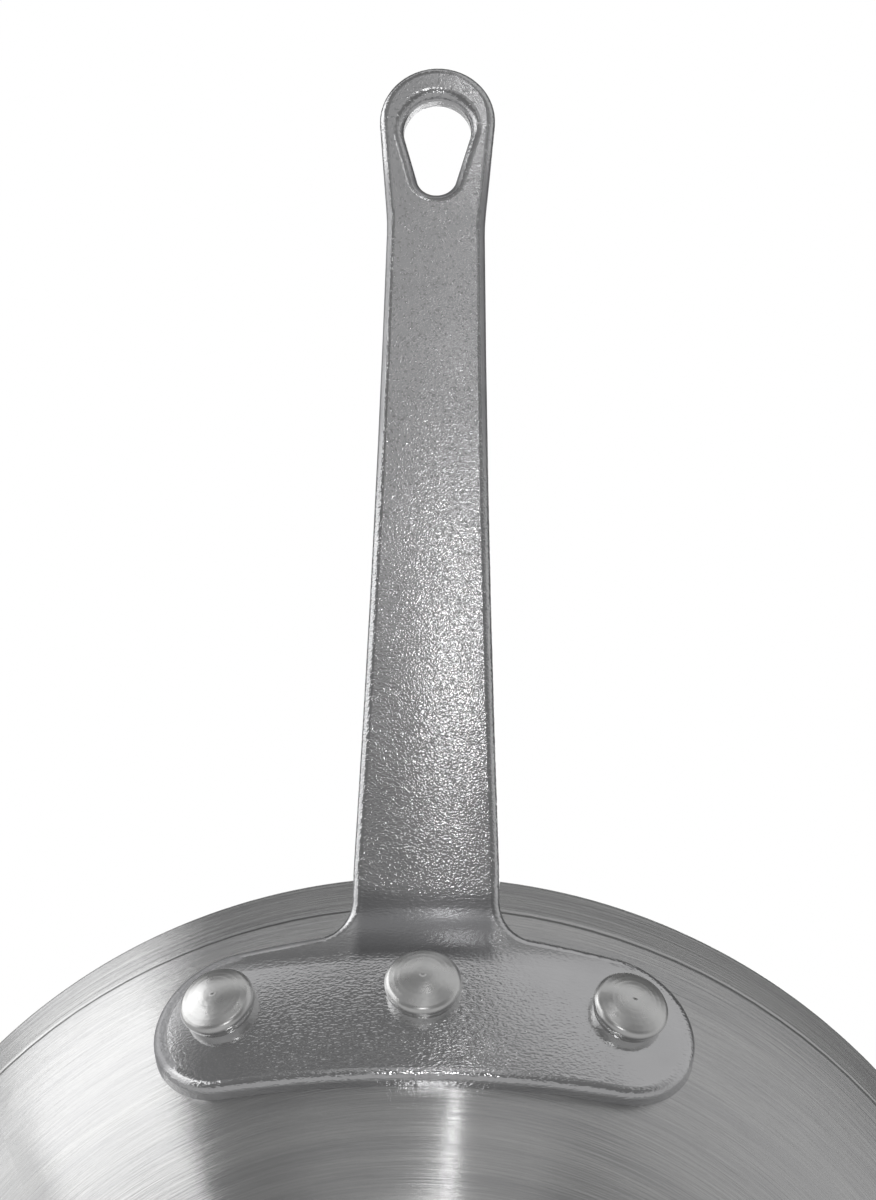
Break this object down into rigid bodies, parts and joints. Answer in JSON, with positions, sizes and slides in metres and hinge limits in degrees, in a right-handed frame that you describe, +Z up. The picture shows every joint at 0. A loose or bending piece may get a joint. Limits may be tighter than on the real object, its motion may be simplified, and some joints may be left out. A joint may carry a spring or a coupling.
{
  "type": "omelette pan",
  "caption": "Round flared frying pan with a long riveted handle and a hanging hole, for omelettes and light frying on a stovetop.",
  "frame": {"origin": "centre of the flat underside of the base", "axes": "+Z up through the mouth of the pan, -Y along the handle, +X to the right of a cook who looks along +Y from the handle's end"},
  "size_m": [0.2032, 0.338, 0.0873],
  "materials": {
    "pan": "spun, circumferential brush lines",
    "handle": "cast, pebbled grain, matte",
    "rivet": "satin, lightly turned"
  },
  "bodies": {
    "root": {"pan_body": "pan", "handle": "handle", "rivet_left": "rivet", "rivet_middle": "rivet", "rivet_right": "rivet"}
  },
  "joints": []
}
